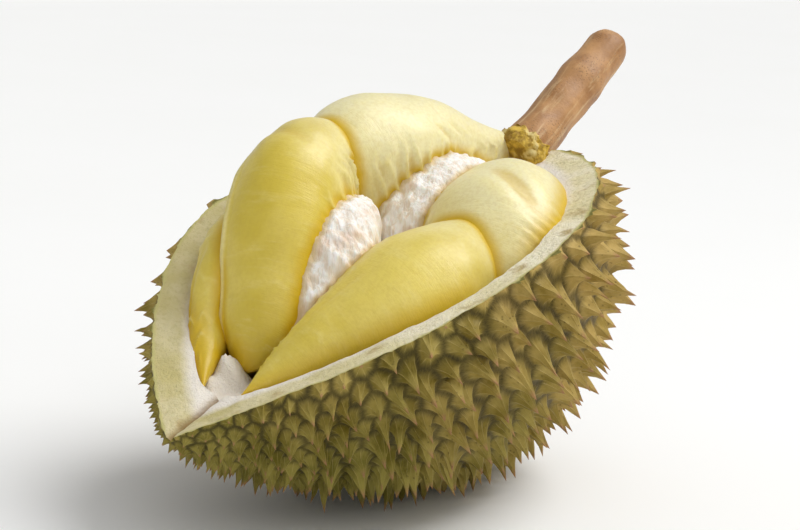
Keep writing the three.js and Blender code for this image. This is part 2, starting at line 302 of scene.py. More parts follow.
def thorn_fans():
    """One fan of faces round the foot of each thorn, flat on the skin, with its growth stored."""
    bm = bmesh.new()
    number = bm.verts.layers.int.new("number")
    share = bm.verts.layers.float.new("share")
    growth = bm.verts.layers.float_vector.new("growth")
    hook = bm.verts.layers.float_vector.new("hook")
    uv = bm.loops.layers.uv.new("thorn")
    for i, thorn in enumerate(thorns):
        bm.verts.new(thorn[3])[number] = i
    bmesh.ops.convex_hull(bm, input=bm.verts[:])
    inside = [vert for vert in bm.verts if not vert.link_faces]
    bmesh.ops.delete(bm, geom=inside, context="VERTS")
    print("points the hull passes over:", len(inside))
    bmesh.ops.recalc_face_normals(bm, faces=bm.faces[:])
    old_edges = bm.edges[:]
    corners = bmesh.ops.poke(bm, faces=bm.faces[:])["verts"]
    for corner in corners:
        corner[number] = -1
    bmesh.ops.rotate_edges(bm, edges=old_edges)
    for vert in bm.verts:
        if vert[number] >= 0:
            foot, grow, bend, _ = thorns[vert[number]]
            vert.co = foot
            vert[share] = 1
            vert[growth] = grow
            vert[hook] = bend
    for corner in corners:
        around = [edge.other_vert(corner) for edge in corner.link_edges]
        feet = [other.co for other in around if other[number] >= 0]
        corner.co = sum(feet, Vector()) / len(feet)
    for face in bm.faces:
        loop = next(loop for loop in face.loops if loop.vert[number] >= 0)
        loop[uv].uv = (0.5, 1)
        loop.link_loop_next[uv].uv = (0, 0)
        loop.link_loop_prev[uv].uv = (1, 0)
    bmesh.ops.subdivide_edges(bm, edges=bm.edges[:], cuts=FACE_CUTS, use_grid_fill=True)
    return bm


def unevenness(point):
    broad = noise.noise_vector(point * 0.11) * 0.8
    fine = noise.noise_vector(point * 0.4) * 0.3
    return broad + fine


def raise_thorns(bm):
    """Lift each fan into a pyramid with hollow faces and a hooked tip."""
    share = bm.verts.layers.float["share"]
    growth = bm.verts.layers.float_vector["growth"]
    hook = bm.verts.layers.float_vector["hook"]
    uv = bm.loops.layers.uv["thorn"]
    for vert in bm.verts:
        up = vert[share]
        if up > 0.01:
            right = vert.link_loops[0][uv].uv.x - 0.5 * up
            left = max(1 - up, 0.01) - right
            middle = clamp(4 * left * right / max(1 - up, 0.01) ** 2)
            rise = up ** mix(RIDGE_POWER, FLUTE_POWER, middle)
            vert.co += vert[growth] / up * rise + vert[hook] / up * up ** HOOK_POWER
        vert.co += unevenness(vert.co)
    return bm


skin = raise_thorns(thorn_fans())
print("faces of the uncut skin:", len(skin.faces))

# %% [markdown]
# ## Cutting with another shape
# The opening and the hollow are cut by Boolean modifiers, as a knife and a spoon would do it.
# The helper makes short-lived objects for both shapes, cuts, and hands back the result as a bmesh.
# Both wear two materials, so that the faces left by a cutter can be told from the skin.

# %% Boolean helper
SKIN_FACES = 0
CUT_FACES = 1


def face_outwards(bm):
    bmesh.ops.recalc_face_normals(bm, faces=bm.faces[:])
    if bm.calc_volume(signed=True) < 0:
        bmesh.ops.reverse_faces(bm, faces=bm.faces[:])


def mesh_from(bm, name):
    mesh = bpy.data.meshes.new(name)
    bm.to_mesh(mesh)
    bm.free()
    return mesh


def add_object(name, data):
    thing = bpy.data.objects.new(name, data)
    bpy.context.scene.collection.objects.link(thing)
    return thing


def as_cutter(bm):
    face_outwards(bm)
    for face in bm.faces:
        face.material_index = CUT_FACES
    return bm


def carve(bm, cutter):
    body = add_object("body", mesh_from(bm, "body"))
    tool = add_object("tool", mesh_from(cutter, "tool"))
    for thing in (body, tool):
        for _ in (SKIN_FACES, CUT_FACES):
            thing.data.materials.append(None)
    cut = body.modifiers.new("cut", "BOOLEAN")
    cut.operation = "DIFFERENCE"
    cut.solver = "MANIFOLD"
    cut.object = tool
    evaluated = body.evaluated_get(bpy.context.evaluated_depsgraph_get())
    result = bmesh.new()
    result.from_mesh(evaluated.to_mesh())
    evaluated.to_mesh_clear()
    for thing in (body, tool):
        bpy.data.objects.remove(thing)
    return result


def keep_largest(bm):
    """Throw away loose crumbs that a cut has left."""
    unseen = set(bm.verts)
    bodies = []
    while unseen:
        found = [unseen.pop()]
        for vert in found:
            near = {edge.other_vert(vert) for edge in vert.link_edges} & unseen
            unseen -= near
            found.extend(near)
        bodies.append(found)
    bodies.sort(key=len)
    for crumb in bodies[:-1]:
        bmesh.ops.delete(bm, geom=crumb, context="VERTS")
    return len(bodies) - 1


# %% [markdown]
# ## The opening
# The rind was pulled apart by hand, so its two broken faces aren't flat like a saw cut. They meet
# along the axis, rise a little towards the rims and are gently wavy. A fine grid is bent into that
# shape and extruded upwards, and a narrow furrow is pressed along the axis near the apex, where the
# rind's own seam runs.

# %% Opening cutter
FURROW_DEPTH = 3.0
FURROW_WIDTH = 1.3
FURROW_FULLY = 30
FURROW_END = 62
SHEET_MIDDLE = 115
SHEET_HALF_LENGTH = 150
SHEET_HALF_WIDTH = 110
SHEET_TOP = 140


def opening_height(x, y):
    waves = 0.9 * noise.noise(Vector((x * 0.03, y * 0.03, 1.5)))
    torn = 0.6 * noise.noise(Vector((x * 0.2, y * 0.2, 7.5)))
    rim = 1.1 * ease(50, 80, abs(y)) * noise.noise(Vector((x * 0.05, y * 0.02, 4.5)))
    furrow = FURROW_DEPTH * math.exp(-(y / FURROW_WIDTH) ** 2) * ease(FURROW_END, FURROW_FULLY, x)
    slope = math.tan(RIM_RISE if y < 0 else FAR_RIM_RISE)
    return abs(y) * slope + waves + torn + rim - furrow


def opening_cutter():
    """A bent sheet, with its rows closest together along the axis, made into a block."""
    bm = bmesh.new()
    bmesh.ops.create_grid(bm, x_segments=150, y_segments=120, size=1)
    for vert in bm.verts:
        x = SHEET_MIDDLE + SHEET_HALF_LENGTH * vert.co.x
        y = SHEET_HALF_WIDTH * vert.co.y * abs(vert.co.y) ** 0.6
        vert.co = (x, y, opening_height(x, y))
    lid = bmesh.ops.extrude_face_region(bm, geom=bm.faces[:])["geom"]
    for vert in (part for part in lid if isinstance(part, bmesh.types.BMVert)):
        vert.co.z = SHEET_TOP
    return as_cutter(bm)


skin = carve(skin, opening_cutter())
print("faces after the opening is cut:", len(skin.faces))

# %% [markdown]
# ## The hollow
# The pods lie in a smooth hollow. It is a sphere drawn out along the axis to the rind's outline, less
# the rind's thickness, which is greater on the far side. It starts shallow near the apex. A torn
# blade of rind, the end of the wall between two chambers, stands up in it there, so the cutter's
# floor is raised by that much.

# %% Hollow cutter
RIND_THICKNESS = 12.2
RIND_LEAN = 3.2
CAVITY_START = 33
CAVITY_END = 238
CAVITY_ROUNDNESS = 0.42
CAVITY_ASIDE = 0.7
CAVITY_DOWN = 0.9
SHALLOW_SHARE = 0.35
SHALLOW_UNTIL = 50
DEEP_FROM = 92
BLADE_X = 57
BLADE_Y = 14
BLADE_HALF_LENGTH = 14
BLADE_HALF_WIDTH = 8
BLADE_HEIGHT = 16


def hollow_cutter():
    bm = bmesh.new()
    bmesh.ops.create_uvsphere(bm, u_segments=150, v_segments=130, radius=1)
    length = CAVITY_END - CAVITY_START
    for vert in bm.verts:
        polar = math.acos(clamp(vert.co.z, -1, 1))
        angle = math.atan2(vert.co.y, vert.co.x)
        x = CAVITY_START + length * (1 - math.cos(polar)) / 2
        round_end = math.sin(polar) ** CAVITY_ROUNDNESS
        thickness = RIND_THICKNESS + RIND_LEAN * math.sin(angle)
        width = (half_width(x) - thickness) * round_end
        shallow = mix(SHALLOW_SHARE, 1, ease(SHALLOW_UNTIL, DEEP_FROM, x))
        depth = (belly_depth(x) - thickness) * round_end * shallow
        y = width * math.sin(angle) + CAVITY_ASIDE
        ragged = 0.25 * noise.noise(Vector((x * 0.22, y * 0.22, 9.5)))
        away = math.hypot((y - BLADE_Y) / BLADE_HALF_WIDTH, (x - BLADE_X) / BLADE_HALF_LENGTH)
        away += ragged
        blade = BLADE_HEIGHT * max(0, 1 - away)
        z = blade - depth * math.cos(angle) if math.cos(angle) > 0 else -width * math.cos(angle)
        vert.co = (x, y, z - CAVITY_DOWN)
    return as_cutter(bm)


skin = carve(skin, hollow_cutter())
print("crumbs removed:", keep_largest(skin), "- faces of the husk:", len(skin.faces))

# %% [markdown]
# ## Plump bodies
# Each pod is the soft flesh round one or two seeds. It has no edges, only swellings, so it starts
# as a UV sphere whose rings are strung along a bent line. A station on the line gives a place and
# three half thicknesses: sideways, upwards and downwards. Between the stations a Catmull-Rom curve
# runs through them all.

# %% Rings along a bent line
BROAD_SWELLINGS = (26, 1.3)
FINE_SWELLINGS = (9, 0.25)
END_ROUNDNESS = 0.55


def on_curve(points, share):
    """A centripetal Catmull-Rom curve through the points."""
    place = clamp(share) * (len(points) - 1)
    first = min(int(place), len(points) - 2)
    at = place - first
    b, c = points[first], points[first + 1]
    a = points[first - 1] if first > 0 else 2 * b - c
    d = points[first + 2] if first + 2 < len(points) else 2 * c - b
    ab, bc, cd = (max((q - p).length, 1e-4) ** 0.5 for p, q in ((a, b), (b, c), (c, d)))
    leave = ((b - a) / ab - (c - a) / (ab + bc) + (c - b) / bc) * bc
    arrive = ((c - b) / bc - (d - b) / (bc + cd) + (d - c) / cd) * bc
    square = at * at
    cube = square * at
    return (b * (2 * cube - 3 * square + 1) + leave * (cube - 2 * square + at)
            + c * (3 * square - 2 * cube) + arrive * (cube - square))


def swellings(point, size, height):
    return height * noise.noise(point / size)


def plump_body(stations, relief, sides=112, rings=120):
    line = [Vector(station[:3]) for station in stations]
    girth = [Vector(station[3:]) for station in stations]

    @functools.lru_cache(maxsize=None)
    def ring(polar):
        share = polar / math.pi
        ahead = (on_curve(line, share + 1e-4) - on_curve(line, share - 1e-4)).normalized()
        sideways = Vector((0, 0, 1)).cross(ahead).normalized()
        return share, on_curve(line, share), ahead.cross(sideways), sideways, on_curve(girth, share)

    bm = bmesh.new()
    bm.loops.layers.uv.new("UVMap")
    fold = bm.verts.layers.float.new("fold")
    bmesh.ops.create_uvsphere(
        bm, u_segments=sides, v_segments=rings, radius=1, calc_uvs=True)
    for vert in bm.verts:
        around = math.atan2(vert.co.y, vert.co.x)
        polar = math.acos(clamp(vert.co.z, -1, 1))
        share, middle, upwards, sideways, size = ring(round(polar, 5))
        out = math.cos(around)
        push = sideways * size.x * math.sin(around)
        push += upwards * size.y * out if out > 0 else Vector((0, 0, size.z * out))
        point = middle + push
        vert[fold] = relief(share, around, point) * min(1, 4 * math.sin(polar))
        bulge = vert[fold] + swellings(point, *BROAD_SWELLINGS) + swellings(point, *FINE_SWELLINGS)
        vert.co = middle + push * math.sin(polar) ** END_ROUNDNESS + push.normalized() * bulge
    face_outwards(bm)
    return bm


# %% [markdown]
# ## Folds, seams and wrinkles
# The skin of a pod is thin and slack. It has low swellings all over, a raised seam where it was
# joined to the wall, fine wrinkles that run down into the pith, and a few creases where a seed ends.
# Each is a small height added to the sphere, measured lengthwise as a share from 0 to 1 and round
# the body in degrees from its top. The height is also kept as an attribute for the material.

# %% Relief of the pods


def groove(share, around, line, width, depth):
    """A crease between two points given as (share, degrees round)."""
    (s0, a0), (s1, a1) = line
    spot = Vector((share * 150, math.degrees(around) * 0.45))
    start = Vector((s0 * 150, a0 * 0.45))
    run = Vector((s1 * 150, a1 * 0.45)) - start
    at = clamp((spot - start).dot(run) / run.length_squared)
    away = (spot - start - run * at).length / width
    fade = ease(0, 0.45, at) * ease(1, 0.55, at)
    return -depth * fade * (math.exp(-away ** 2) - 0.35 * math.exp(-((away - 2.2) ** 2)))


def wrinkles(share, around, middle, spread, first, last, count, height):
    """Sharp folds that run round the body, where it dips into the pith."""
    degrees = math.degrees(around)
    place = math.exp(-((degrees - middle) / spread) ** 2)
    place *= ease(first, first + 0.08, share) * ease(last, last - 0.08, share)
    drift = 1.1 * noise.noise(Vector((share * 9, degrees * 0.03, 3.1)))
    crest = 1 - abs(math.sin(math.pi * (share * count + drift)))
    uneven = 0.7 + 0.9 * noise.noise(Vector((share * 21, degrees * 0.05, 8.4)))
    return height * place * uneven * (2 * crest ** 1.5 - 0.6)


def seam(share, around, at, first, last, height):
    wander = 4 * noise.noise(Vector((share * 5, 2.2, 0)))
    line = math.exp(-((math.degrees(around) - at - wander) / 3.0) ** 2)
    return height * line * ease(first, first + 0.1, share) * ease(last, last - 0.1, share)


POD_FOLDS = {
    "front_pod_lower": [
        (wrinkles, 60, 24, 0.1, 0.95, 23, 0.56),
        (groove, ((0.25, 25), (0.6, -5)), 3.5, 0.5),
    ],
    "front_pod_upper": [
        (groove, ((0.56, 15), (0.32, -62)), 4.5, 1.6),
        (wrinkles, -60, 22, 0.2, 0.5, 25, 0.48),
        (wrinkles, 62, 22, 0.3, 0.8, 21, 0.64),
    ],
    "rear_pod_lower": [
        (wrinkles, -92, 22, 0.3, 0.93, 23, 1.6),
        (seam, 48, 0.06, 0.75, 1.65),
        (groove, ((0.80, 70), (0.74, -60)), 3.0, 0.8),
    ],
    "rear_pod_upper": [
        (wrinkles, -98, 22, 0.15, 0.9, 17, 1.44),
        (groove, ((0.50, -45), (0.62, -80)), 1.9, 0.9),
        (groove, ((0.57, -38), (0.69, -72)), 1.6, 0.7),
        (groove, ((0.64, -34), (0.74, -64)), 1.5, 0.5),
    ],
    "side_pod": [
        (groove, ((0.2, 60), (0.42, 20)), 2.2, 0.9),
        (wrinkles, 30, 60, 0.05, 0.6, 13, 0.48),
    ],
}


def relief_of(name, share, around, point):
    """How far a body's skin stands off. The pith has strands, not folds."""
    if name in POD_FOLDS:
        return sum(fold(share, around, *sizes) for fold, *sizes in POD_FOLDS[name])
    broad = 1.6 * noise.noise(Vector((point.x * 0.2, point.y * 0.2, point.z * 0.05)))
    strands = 0.8 * noise.noise(Vector((point.x * 0.7, point.y * 0.7, point.z * 0.07)))
    return broad + strands


# %% The pods and the pith
PLUMP_BODIES = {
    "front_pod_lower": [
        (35, -9, 2, 5, 4, 8),
        (50, -14, 3, 11, 8, 18),
        (70, -21, 5, 16, 14, 36),
        (98, -31, 7, 25, 22, 60),
        (124, -37, 8, 28, 26, 72),
        (147, -35, 8, 27, 26, 68),
        (171, -28, 4, 18, 17, 46),
    ],
    "front_pod_upper": [
        (126, -50, 0, 14, 12, 40),
        (146, -45, 4, 28, 21, 64),
        (168, -38, 6, 31, 26, 72),
        (190, -31, 4, 29, 27, 72),
        (212, -25, -1, 24, 22, 60),
        (232, -18, -8, 14, 14, 40),
    ],
    "rear_pod_lower": [
        (61, 12, -6, 20, 12, 8),
        (75, 13, 4, 21, 18, 22),
        (94, 17, 17, 22, 21, 44),
        (114, 23, 32, 24, 27, 60),
        (140, 28, 42, 26, 31, 76),
        (168, 29, 41, 25, 30, 76),
    ],
    "rear_pod_upper": [
        (136, 28, 37, 23, 24, 60),
        (158, 28, 37, 27, 27, 84),
        (180, 25, 34, 26, 24, 84),
        (204, 19, 26, 21, 20, 70),
        (227, 11, 16, 15, 14, 50),
        (252, 4, 8, 10, 9, 24),
    ],
    "side_pod": [
        (35, 10, -1, 3, 4, 5),
        (50, 21, 2, 8, 8, 12),
        (66, 31, 4, 10, 14, 22),
        (88, 38, 10, 14, 21, 46),
        (112, 43, 12, 19, 24, 60),
        (140, 47, 6, 21, 20, 70),
        (172, 47, 4, 22, 18, 70),
        (204, 38, -2, 18, 16, 60),
        (222, 30, -8, 12, 10, 30),
    ],
    "pith_lower": [
        (70, -2, -10, 14, 10, 20),
        (96, 1, 9, 19, 16, 40),
        (120, 4, 23, 20, 18, 60),
        (148, 7, 25, 16, 18, 60),
    ],
    "pith_upper": [
        (146, -4, 2, 18, 13, 60),
        (164, -1, 9, 24, 18, 70),
        (184, 2, 11, 26, 19, 70),
        (208, 2, 7, 24, 15, 50),
        (232, 2, -6, 16, 8, 20),
    ],
}
plump = {
    name: plump_body(stations, functools.partial(relief_of, name))
    for name, stations in PLUMP_BODIES.items()}
print("faces of one pod:", len(plump["side_pod"].faces))

# %% [markdown]
# ## Where the pods press together
# The pods and the pith are painted darker as shade where they lie close to a neighbour or to the
# rind: the pods a deep gold, the pith a tan.
# Search trees of the bodies and the husk tell how far away the next surface is, and the closeness
# is kept as an attribute for the materials.

# %% Closeness attribute
NEIGHBOUR_REACH = 7.0
HUSK_REACH = 15.0


def closeness(tree, point, reach):
    gap = tree.find_nearest(point, reach)[3]
    return 0 if gap is None else 1 - gap / reach


def mark_crowding(bodies, husk):
    trees = {name: BVHTree.FromBMesh(bm) for name, bm in bodies.items()}
    wall = BVHTree.FromBMesh(husk)
    for name, bm in bodies.items():
        crowded = bm.verts.layers.float.new("crowded")
        others = [tree for other, tree in trees.items() if other != name]
        for vert in bm.verts:
            pressed = max(closeness(tree, vert.co, NEIGHBOUR_REACH) for tree in others)
            vert[crowded] = max(pressed, closeness(wall, vert.co, HUSK_REACH))


mark_crowding(plump, skin)

# %% [markdown]
# ## The stem and the torn tissue at its foot
# The stem is a turned shape: its outline is drawn once as a chain of points and spun round its axis.
# Wood isn't round, so the spun surface is pushed in and out by noise. The tissue at its foot
# tore when the rind was opened, so it gets far rougher noise and a ragged upper edge.

# %% Stem and collar
STEM_RADIUS = 10.5
STEM_LENGTH = 87
STEM_ROOT = Vector((247, 0, 3))
STEM_LIFT = math.radians(13)
STEM_TO_FRUIT = Matrix.Translation(STEM_ROOT) @ Matrix.Rotation(
    math.pi / 2 - STEM_LIFT, 4, "Y")
ROUNDED_FROM = 77
ROUNDED_OVER = STEM_LENGTH - ROUNDED_FROM
COLLAR_FOOT = -6
COLLAR_TOP = 4
COLLAR_SHIFT = Vector((-2, -1, 0))


def turned(profile, steps):
    """Spin an outline of (radius, height) points round Z."""
    bm = bmesh.new()
    chain = [bm.verts.new((radius, 0, height)) for radius, height in profile]
    edges = [bm.edges.new(pair) for pair in zip(chain, chain[1:])]
    bmesh.ops.spin(bm, geom=chain + edges, cent=(0, 0, 0), axis=(0, 0, 1),
                   angle=2 * math.pi, steps=steps, use_merge=True)
    bmesh.ops.remove_doubles(bm, verts=bm.verts[:], dist=1e-4)
    face_outwards(bm)
    return bm


def stem_outline(steps=60):
    """Outline from the root to the rounded top, as (radius, height)."""
    outline = [(0, 0)]
    for i in range(steps + 1):
        height = STEM_LENGTH * i / steps
        foot = 0.06 * ease(22, 6, height)
        knot = 0.07 * math.exp(-((height - 52) / 5) ** 2)
        waist = -0.10 * ease(56, 68, height)
        round_top = math.sqrt(max(0, 1 - (max(0, height - ROUNDED_FROM) / ROUNDED_OVER) ** 2))
        outline.append((STEM_RADIUS * (1 + foot + knot + waist) * round_top, height))
    return outline


def shape_stem(bm):
    for vert in bm.verts:
        angle = math.atan2(vert.co.y, vert.co.x)
        east, north = math.cos(angle), math.sin(angle)
        ribs = 0.25 * noise.noise(Vector((4 * east, 4 * north, vert.co.z * 0.02)))
        lumps = 0.8 * noise.noise(Vector((east, north, vert.co.z * 0.07)))
        away = Vector((vert.co.x, vert.co.y, 0))
        vert.co += away.normalized() * (ribs + lumps) * min(1, away.length / 4)
    return bm


def shape_collar(bm):
    for vert in bm.verts:
        away = Vector((vert.co.x, vert.co.y, 0))
        spot = vert.co * 0.45
        rough = 1.2 * noise.noise(spot) + 1.1 * noise.noise(spot * 2.7)
        vert.co += away.normalized() * rough * min(1, away.length / 6)
        if vert.co.z > 0:
            angle = math.atan2(vert.co.y, vert.co.x)
            ragged = noise.noise(Vector((4.2 * math.cos(angle), 4.2 * math.sin(angle), 5)))
            vert.co.z += 3.0 * ragged + 0.8 * noise.noise(spot * 4)
        vert.co += COLLAR_SHIFT
    return bm


def collar_outline():
    """The outline of the torn tissue, which bulges most at half height."""
    r = STEM_RADIUS
    side = [(1.08 * r + 0.1 * r * math.sin(math.pi * i / 10), COLLAR_FOOT + i) for i in range(11)]
    lip = [(1.0 * r, COLLAR_TOP + 0.5), (0.85 * r, COLLAR_TOP), (0, COLLAR_TOP)]
    return [(0, COLLAR_FOOT)] + side + lip


stem = shape_stem(turned(stem_outline(), 72))
collar = shape_collar(turned(collar_outline(), 64))
for bm in (stem, collar):
    bm.transform(STEM_TO_FRUIT)
print("faces of the stem:", len(stem.faces), "and of the torn tissue:", len(collar.faces))

# %% [markdown]
# ## Small helpers for materials
# Every surface is a node material. One helper adds a node with its settings and joins its inputs, so
# that a recipe reads from top to bottom. Colours are written as a painter's web codes and turned into
# the linear values that light works with.

# %% Node helpers


def colour(code):
    parts = [int(code[i:i + 2], 16) / 255 for i in (0, 2, 4)]
    linear = [part / 12.92 if part <= 0.04045 else ((part + 0.055) / 1.055) ** 2.4 for part in parts]
    return (*linear, 1.0)


def plug(tree, socket, value):
    """Join a socket to another one, or set its value."""
    if isinstance(value, bpy.types.NodeSocket):
        tree.links.new(value, socket)
    else:
        socket.default_value = value


def add(tree, kind, inputs=None, **settings):
    node = tree.nodes.new(kind)
    for key, value in settings.items():
        setattr(node, key, value)
    for key, value in (inputs or {}).items():
        plug(tree, node.inputs[key], value)
    return node


def maths(tree, operation, first, second=0.0, third=0.0):
    inputs = {0: first, 1: second, 2: third}
    return add(tree, "ShaderNodeMath", inputs, operation=operation).outputs[0]


def span(tree, value, low, high, to_low=0.0, to_high=1.0):
    """A smooth step of a value between two limits."""
    node = add(tree, "ShaderNodeMapRange", {
        "Value": value, "From Min": low, "From Max": high, "To Min": to_low, "To Max": to_high,
    }, interpolation_type="SMOOTHSTEP")
    return node.outputs["Result"]


def blend(tree, share, first, second):
    """Mix two colours, which are inputs 6 and 7 of the node."""
    inputs = {"Factor": share, 6: first, 7: second}
    return add(tree, "ShaderNodeMix", inputs, data_type="RGBA").outputs[2]


def cloudy(tree, vector, scale, detail=4.0, roughness=0.55):
    return add(tree, "ShaderNodeTexNoise", {
        "Vector": vector, "Scale": scale, "Detail": detail, "Roughness": roughness}).outputs["Fac"]


def new_material(name):
    material = bpy.data.materials.new(name)
    material.use_nodes = True
    tree = material.node_tree
    shader = tree.nodes["Principled BSDF"]
    place = add(tree, "ShaderNodeTexCoord").outputs["Object"]
    return material, tree, shader, place


def join(tree, shader, **sockets):
    for name, value in sockets.items():
        plug(tree, shader.inputs[name.replace("_", " ")], value)


def bump(tree, height, strength, distance):
    inputs = {"Height": height, "Strength": strength, "Distance": distance}
    return add(tree, "ShaderNodeBump", inputs).outputs["Normal"]


# %% [markdown]
# ## Effects shared by several materials
# Fine specks, and a grain that is the sum of a coarse and a fine noise, turn up on rind, flesh, pith
# and stem alike. Each is a node group with named inputs and is placed with its own values.

# %% Shared groups


def new_group(name, inputs, outputs):
    group = bpy.data.node_groups.new(name, "ShaderNodeTree")
    for label, kind, value in inputs:
        socket = group.interface.new_socket(label, in_out="INPUT", socket_type=kind)
        if value is not None:
            socket.default_value = value
    for label, kind in outputs:
        group.interface.new_socket(label, in_out="OUTPUT", socket_type=kind)
    start = group.nodes.new("NodeGroupInput")
    end = group.nodes.new("NodeGroupOutput")
    return group, start, end


def make_specks():
    group, start, end = new_group("Specks", [
        ("Vector", "NodeSocketVector", None),
        ("Scale", "NodeSocketFloat", 300.0),
        ("Size", "NodeSocketFloat", 0.25),
    ], [("Mask", "NodeSocketFloat")])
    cells = add(group, "ShaderNodeTexVoronoi", {
        "Vector": start.outputs["Vector"], "Scale": start.outputs["Scale"], "Randomness": 1.0})
    patches = cloudy(group, start.outputs["Vector"], 60.0, 2.0)
    dots = maths(group, "SUBTRACT", start.outputs["Size"], cells.outputs["Distance"])
    dots = span(group, dots, 0.0, 0.12)
    mask = maths(group, "MULTIPLY", dots, span(group, patches, 0.42, 0.6))
    group.links.new(mask, end.inputs["Mask"])
    return group


def make_grain():
    group, start, end = new_group("Grain", [
        ("Vector", "NodeSocketVector", None),
        ("Coarse", "NodeSocketFloat", 120.0),
        ("Fine", "NodeSocketFloat", 900.0),
    ], [("Coarse", "NodeSocketFloat"), ("Height", "NodeSocketFloat")])
    coarse = cloudy(group, start.outputs["Vector"], start.outputs["Coarse"], 5.0)
    fine = cloudy(group, start.outputs["Vector"], start.outputs["Fine"], 3.0)
    height = add(group, "ShaderNodeMix", {"Factor": 0.4, 2: coarse, 3: fine}).outputs[0]
    group.links.new(coarse, end.inputs["Coarse"])
    group.links.new(height, end.inputs["Height"])
    return group


SPECKS = make_specks()
GRAIN = make_grain()


def place_group(tree, group, inputs):
    return add(tree, "ShaderNodeGroup", inputs, node_tree=group)


# %% [markdown]
# ## The thorny rind
# Fresh rind is olive. Towards the top and the stem end it turns brown and lighter, partly its own
# colour and partly painted light from the upper right. Its ridges are painted a light tan as a
# highlight, its tips are dry and pinkish brown, and the grooves between the thorns are painted dark
# as shade. The skin carries its own map: up each thorn is V, and across a face is U, so ridge, tip
# and groove are read from it. Fine streaks run from the tip to the foot.

# %% Rind material


def make_rind():
    material, tree, shader, place = new_material("durian rind")
    uv = add(tree, "ShaderNodeUVMap", uv_map="thorn").outputs["UV"]
    parts = add(tree, "ShaderNodeSeparateXYZ", {0: uv})
    up = parts.outputs["Y"]
    right = maths(tree, "MULTIPLY_ADD", up, -0.5, parts.outputs["X"])
    wide = maths(tree, "MAXIMUM", maths(tree, "SUBTRACT", 1.0, up), 0.04)
    across = maths(tree, "DIVIDE", right, wide)
    beside = maths(tree, "MINIMUM", across, maths(tree, "SUBTRACT", 1.0, across))
    ridge = span(tree, beside, 0.07, 0.0)
    ridge = maths(tree, "MULTIPLY", ridge, span(tree, up, 0.12, 0.45))
    tip = span(tree, up, 0.80, 0.98)
    hollow = span(tree, up, 0.55, 0.0)
    grain = place_group(tree, GRAIN, {"Vector": place, "Coarse": 70.0, "Fine": 620.0})
    streak_place = add(tree, "ShaderNodeCombineXYZ", {
        0: maths(tree, "MULTIPLY", across, 9.0), 1: maths(tree, "MULTIPLY", up, 1.3),
        2: maths(tree, "MULTIPLY", grain.outputs["Coarse"], 6.0)}).outputs[0]
    streaks = cloudy(tree, streak_place, 1.6, 3.0, 0.6)
    along = add(tree, "ShaderNodeSeparateXYZ", {0: place})
    # Brown towards the top and the stem end: partly the rind's own colour, partly painted light from
    # the upper right.
    brown_and_lit = maths(tree, "ADD", maths(tree, "MULTIPLY", along.outputs["X"], 2.2),
                  maths(tree, "MULTIPLY", along.outputs["Z"], 5.0))
    brown_and_lit = maths(tree, "ADD", brown_and_lit, cloudy(tree, place, 14.0, 3.0))
    brown_and_lit = span(tree, brown_and_lit, 0.3, 1.1)
    mottle = span(tree, grain.outputs["Coarse"], 0.35, 0.65)
    olive = blend(tree, mottle, colour("6c641a"), colour("9b8f42"))
    brown = blend(tree, mottle, colour("9f853a"), colour("c2a560"))
    body = blend(tree, brown_and_lit, olive, brown)
    body = blend(tree, span(tree, streaks, 0.5, 0.8, 0.0, 0.3), body, colour("b9a262"))
    body = blend(tree, span(tree, streaks, 0.5, 0.25, 0.0, 0.3), body, colour("4d4510"))
    # Painted shade: the grooves between the thorns are painted dark.
    groove_shade = maths(tree, "MULTIPLY", hollow, span(tree, streaks, 0.75, 0.3, 0.62, 0.88))
    body = blend(tree, groove_shade, body, colour("2b2407"))
    # Painted highlight: the ridges are painted a light tan.
    ridge_highlight = maths(tree, "MULTIPLY", ridge, span(tree, streaks, 0.3, 0.6, 0.2, 0.5))
    body = blend(tree, ridge_highlight, body, colour("cdb778"))
    body = blend(tree, maths(tree, "MULTIPLY", tip, 0.75), body, colour("a9765a"))
    specks = place_group(tree, SPECKS, {"Vector": place, "Scale": 420.0, "Size": 0.24})
    body = blend(tree, maths(tree, "MULTIPLY", specks.outputs["Mask"], 0.5), body, colour("51441a"))
    height = maths(tree, "MULTIPLY_ADD", streaks, 0.35, grain.outputs["Height"])
    join(tree, shader, Base_Color=body, Normal=bump(tree, height, 0.55, 0.0009),
         Roughness=span(tree, grain.outputs["Coarse"], 0.3, 0.7, 0.48, 0.68),
         Specular_IOR_Level=0.2)
    return material
